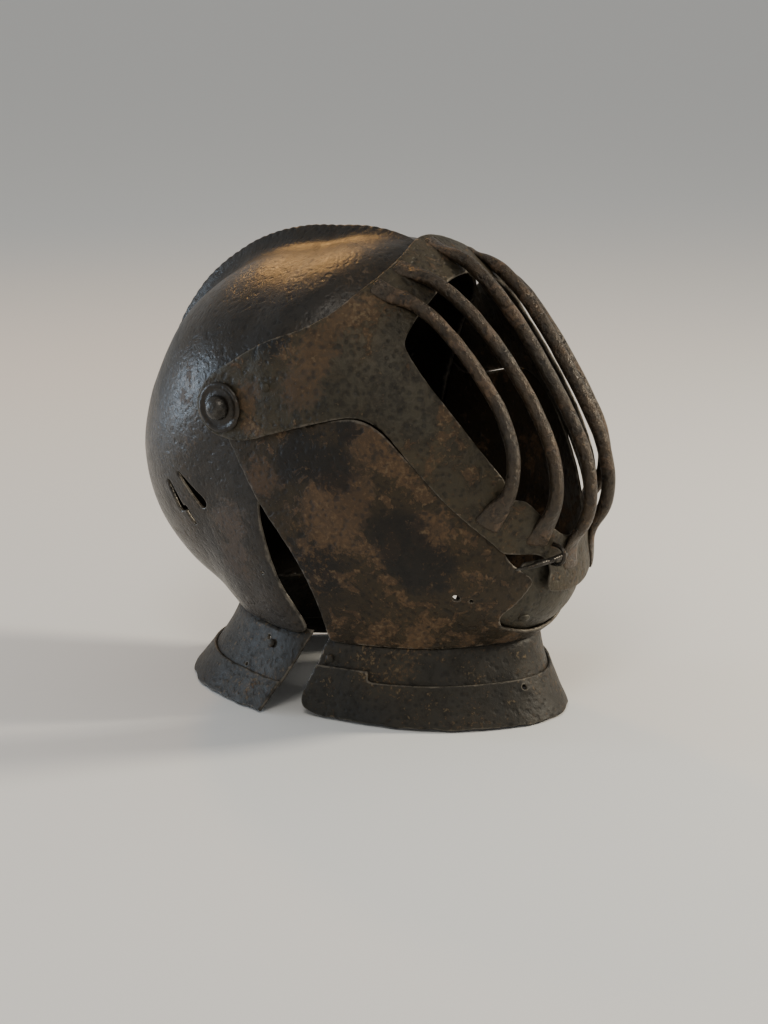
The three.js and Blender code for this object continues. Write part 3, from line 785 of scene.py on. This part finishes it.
def patinatedIron(name, look):
    paint = Paint(name)
    where = paint.add("ShaderNodeTexCoord", {}, {}, 3)
    broad = paint.noise(where, look.get("broadScale", 22.0), 6, 0.62, 0.5)
    patchy = paint.noise(where, 90.0, 7, 0.66, 0.6)
    fine = paint.noise(where, 420.0, 5, 0.62, 0.3)
    grain = paint.noise(where, 1700.0, 3, 0.6)
    colour = paint.blend(paint.fade(broad + (patchy - 0.5) * 0.5, 0.3, 0.7), look["iron"], look["brown"])
    colour = paint.blend(paint.fade(patchy + (fine - 0.5) * 0.4, 0.42, 0.7) * 0.75, colour, look["deep"])
    rust = paint.fade(broad * 0.4 + patchy * 0.6, look["rustFrom"], look["rustFrom"] + 0.09) * 0.9
    for spot, reach in look.get("rustSpots", []):
        gap = paint.distance(where, spot) + (patchy - 0.5) * 0.05
        rust = rust + paint.fade(gap, reach * mm * 1.25, reach * mm * 0.2) * 0.8
    rust = paint.fade(rust * (fine * 1.5 + patchy * 1.0 - 0.3), 0.32, 0.72)
    colour = paint.blend(rust * look["rustAmount"], colour, look["rust"])
    stain = None
    for spot, reach in look.get("stains", []):
        gap = paint.distance(where, spot) + (broad - 0.5) * 0.045 + (patchy - 0.5) * 0.045
        edge = paint.fade(gap, reach * mm * 1.1, reach * mm * 0.5)
        stain = edge if stain is None else stain + edge
    if stain is not None:
        stain = paint.add("ShaderNodeClamp", {}, {0: stain})
        colour = paint.blend(stain * 0.78, colour, look["stain"])
        rust = rust * (1 - stain)
    flecks = paint.fade(fine * 0.75 + grain * 0.25 + (broad - 0.5) * 0.5 + rust * 0.05, 0.55, 0.66)
    colour = paint.blend(flecks * look["fleckAmount"], colour, look["fleck"])
    speck = paint.fade(fine + (patchy - 0.5) * 0.7 + (broad - 0.5) * 0.4, 0.62, 0.76)
    colour = paint.blend(speck * look["speckAmount"], colour, look["speck"])
    # Plate edges are lightened through the rim attribute: partly real edge wear, partly a painted highlight along the
    # edges.
    rim = paint.add("ShaderNodeAttribute", {"attribute_name": "rim"}, {}, 2)
    wearAndSheen = paint.fade(rim + (patchy - 0.5) * 1.6 + (fine - 0.5) * 0.6, 0.66, 1.15)
    colour = paint.blend(wearAndSheen * look["wearAndSheenAmount"], colour, look["worn"])
    roughness = look["roughness"] + (patchy - 0.5) * 0.34 + (fine - 0.5) * 0.2 + rust * 0.22 - wearAndSheen * 0.06
    metallic = look["metallic"] - rust * 0.4
    pits = paint.add("ShaderNodeTexVoronoi", {"feature": "SMOOTH_F1"}, {"Vector": where, "Scale": look["pitScale"]})
    pitted = paint.fade(pits + (patchy - 0.5) * 0.6, 0.1, 0.4)
    colour = paint.blend((1 - pitted) * 0.55, colour, look["deep"])
    height = (patchy * look["dentAmount"] + fine * look["pebbleAmount"] + pitted * look["pitAmount"] + grain * 0.06
              + rust * 0.12)
    normal = paint.add("ShaderNodeBump", {}, {"Strength": look["bump"], "Distance": 0.0015, "Height": height})
    shader = paint.add("ShaderNodeBsdfPrincipled", {}, {"Base Color": colour, "Metallic": metallic,
                                                       "Roughness": roughness, "Normal": normal,
                                                       "Specular IOR Level": look["specular"]})
    paint.add("ShaderNodeOutputMaterial", {}, {0: shader})
    return paint.material


baseLook = {
    "iron": rgb(0.03, 0.0262, 0.021), "brown": rgb(0.042, 0.03, 0.0175), "deep": rgb(0.0085, 0.0076, 0.0066),
    "rust": rgb(0.068, 0.0365, 0.0155), "rustFrom": 0.53, "rustAmount": 0.7, "fleck": rgb(0.125, 0.068, 0.028),
    "fleckAmount": 0.3, "specular": 0.36,
    "stain": rgb(0.0085, 0.008, 0.008), "speck": rgb(0.16, 0.12, 0.068), "speckAmount": 0.3,
    # The worn colour lightens plate edges: edge wear together with a painted edge highlight.
    "worn": rgb(0.17, 0.15, 0.12), "wearAndSheenAmount": 0.6, "roughness": 0.42, "metallic": 0.4,
    "pitScale": 240.0, "dentAmount": 0.8, "pebbleAmount": 0.4, "pitAmount": 0.25, "bump": 0.5,
}
skullLook = dict(baseLook, iron=rgb(0.027, 0.0248, 0.0225), brown=rgb(0.034, 0.0265, 0.018), fleckAmount=0.2,
                 specular=0.5, roughness=0.34, dentAmount=0.6, pebbleAmount=0.45, bump=0.46,
                 rustFrom=0.58, rustAmount=0.4, speckAmount=0.14,
                 rustSpots=[((-90, -6, -72), 22), ((-81, -10, -100), 20)])
visorLook = dict(baseLook, iron=rgb(0.039, 0.0338, 0.0225), brown=rgb(0.053, 0.0402, 0.0222),
                 rustFrom=0.52, rustAmount=0.55, speckAmount=0.45,
                 rustSpots=[((-92, 62, 41), 16), ((-77, 69, 60), 14), ((-100, 54, 15), 20), ((-104, 20, 8), 12)],
                 stains=[((-98, 38, 42), 15)], roughness=0.48, bump=0.62, pebbleAmount=0.55, pitAmount=0.4)
bevorLook = dict(baseLook, iron=rgb(0.029, 0.0217, 0.0128), brown=rgb(0.039, 0.0267, 0.0134), rustFrom=0.5,
                 speckAmount=0.35, rustAmount=0.6, fleckAmount=0.42,
                 rustSpots=[((-96, 71, -57), 28), ((-101, 26, -41), 18), ((-95, 84, -44), 20), ((-86, 107, -77), 11),
                            ((-93, 97, -10), 22), ((-77, 127, -62), 16), ((-80, 88, -138), 11),
                            ((-66, 114, -139), 12), ((-47, 136, -139), 13), ((-24, 148, -139), 11)],
                 stains=[((-100, 53, -23), 18), ((-97, 72, -30), 18), ((-84, 112, -72), 24), ((-77, 126, -85), 21),
                         ((-96, 82, -5), 6), ((-99, 60, -92), 26)],
                 roughness=0.46, bump=0.52, pitAmount=0.32)
barLook = dict(baseLook, iron=rgb(0.04, 0.031, 0.021), brown=rgb(0.056, 0.036, 0.019), rustFrom=0.51, fleckAmount=0.3,
               roughness=0.33, bump=0.8, pebbleAmount=0.8, dentAmount=1.1, broadScale=34.0,
               specular=0.6, metallic=0.5)
collarLook = dict(baseLook, iron=rgb(0.0235, 0.0222, 0.0195), brown=rgb(0.034, 0.029, 0.021), speckAmount=0.55,
                  rustFrom=0.58, roughness=0.52, bump=0.5, pitAmount=0.35, metallic=0.12, specular=0.22)
# The chin plate's colour is lighter and more olive than the bevor's: the light falling on the chin plate is painted
# into its colour.
chinPaintedLightLook = dict(baseLook, iron=rgb(0.045, 0.041, 0.03), brown=rgb(0.055, 0.046, 0.029), roughness=0.48)
wornLook = dict(baseLook, iron=rgb(0.07, 0.066, 0.06), brown=rgb(0.05, 0.044, 0.038), roughness=0.3, metallic=0.8,
                wearAndSheenAmount=0.3)

skullIron = patinatedIron("skull_iron", skullLook)
visorIron = patinatedIron("visor_iron", visorLook)
bevorIron = patinatedIron("bevor_iron", bevorLook)
barIron = patinatedIron("bar_iron", barLook)
collarIron = patinatedIron("collar_iron", collarLook)
chinIronPaintedLight = patinatedIron("chin_iron_painted_light", chinPaintedLightLook)
wornIron = patinatedIron("rubbed_iron", wornLook)
print("finishes made")

placePiece(makeSkull(), "skull_body", "skull", skullIron)
print("skull made")
placePiece(makeVisor(), "visor_body", "visor", visorIron)
print("visor made")
placePiece(makeBevor(), "bevor_body", "bevor", bevorIron)
placePiece(makeChinPlate(), "bevor_body", "chin_plate", chinIronPaintedLight)
print("bevor made")
for bar in barShape["bars"]:
    placePiece(makeBar(bar), "visor_body", bar["name"], barIron)
for node in collarShape:
    placePiece(makeCollar(node), collarBody(node), node, collarIron)
print("bars and collar made")
for sideName, side in (("right", -1), ("left", 1)):
    outward = Vector((side, 0, 0))
    seat = standing(Vector((side * pivotShape["base"], 0, 0)), outward)
    placePiece(turnedPiece("washer_" + sideName, pivotShape["washer"], seat, 48), "skull_body",
               "pivot_washer_" + sideName, skullIron)
    placePiece(turnedPiece("pivot_" + sideName, pivotShape["rivet"], seat, 40), "skull_body",
               "pivot_rivet_" + sideName, wornIron)
for rivet in rivetShape["plate"]:
    sheet, body, finish = ((visorSheet, "visor_body", visorIron) if rivet["on"] == "visor"
                           else (chinSheet, "bevor_body", chinIronPaintedLight))
    placePiece(makePlateRivet(rivet, sheet), body, rivet["name"], finish)
for rivet in rivetShape["collar"]:
    placePiece(makeCollarRivet(rivet), collarBody(rivet["on"]), rivet["name"], collarIron)
placePiece(makeCatchPin(), "visor_body", "catch_pin", wornIron)
placePiece(makeCatchStaple(), "visor_body", "catch_staple", wornIron)
print("small parts made")

# Floor, light and camera

studio = {
    "floorSize": 80.0, "floorColour": rgb(0.85, 0.86, 0.86), "floorSpeck": rgb(0.72, 0.72, 0.7),
    "worldColour": rgb(0.925, 0.91, 0.875), "worldStrength": 0.46,
    "target": Vector((0, -8.8, 110)) * mm, "turn": 34.0, "lift": 14.0, "distance": 1.6,
    "sensor": 36, "lens": 36 * 2600 / 1024,  # for an image 1024 high
    "lamps": [  # metres from the target, as seen from the camera
        dict(name="warm_back", side=-0.45, away=1.25, height=1.0, size=0.18, energy=4.2, colour=(1.0, 0.53, 0.15)),
        dict(name="warm_side", side=1.5, away=0.15, height=0.75, size=0.3, energy=27, colour=(1.0, 0.9, 0.72)),
        dict(name="cool_window", side=-1.7, away=0.4, height=0.12, size=0.55, energy=11.5,
             colour=(0.62, 0.79, 1.0)),
        dict(name="front_soft", side=-0.2, away=-1.5, height=1.5, size=0.7, energy=12, colour=(1.0, 0.95, 0.87))],
}
turn, lift = math.radians(studio["turn"]), math.radians(studio["lift"])
back = Vector((-math.cos(turn) * math.cos(lift), -math.sin(turn) * math.cos(lift), math.sin(lift)))
rightward = (-back).cross(Vector((0, 0, 1))).normalized()
awayward = Vector((-back.x, -back.y, 0)).normalized()


def makeFloor():
    bm = bmesh.new()
    bmesh.ops.create_grid(bm, x_segments=2, y_segments=2, size=studio["floorSize"] / 2)
    floor = meshObject(bm, "floor")
    paint = Paint("pale_floor")
    where = paint.add("ShaderNodeTexCoord", {}, {}, 3)
    speckle = paint.noise(where, 900.0, 3)
    colour = paint.blend(speckle * 0.25, studio["floorColour"], studio["floorSpeck"])
    shader = paint.add("ShaderNodeBsdfPrincipled", {}, {"Base Color": colour, "Roughness": 0.85})
    paint.add("ShaderNodeOutputMaterial", {}, {0: shader})
    floor.data.materials.append(paint.material)


def makeLight(name, side, away, height, size, energy, colour):
    data = bpy.data.lights.new(name, "AREA")
    data.shape, data.size, data.energy, data.color = "DISK", size, energy, colour
    lamp = bpy.data.objects.new(name, data)
    lamp.location = studio["target"] + rightward * side + awayward * away + Vector((0, 0, height))
    lamp.rotation_euler = (studio["target"] - lamp.location).to_track_quat("-Z", "Y").to_euler()
    bpy.context.scene.collection.objects.link(lamp)


makeFloor()
for lamp in studio["lamps"]:
    makeLight(**lamp)
world = bpy.data.worlds.new("studio")
world.use_nodes = True
world.node_tree.nodes["Background"].inputs[0].default_value = studio["worldColour"]
world.node_tree.nodes["Background"].inputs[1].default_value = studio["worldStrength"]
bpy.context.scene.world = world

lens = bpy.data.cameras.new("camera")
lens.lens, lens.sensor_width = studio["lens"], studio["sensor"]
camera = bpy.data.objects.new("camera", lens)
camera.location = studio["target"] + back * studio["distance"]
camera.rotation_euler = (-back).to_track_quat("-Z", "Y").to_euler()
bpy.context.scene.collection.objects.link(camera)
bpy.context.scene.camera = camera
print("studio made")

bpy.context.view_layer.update()
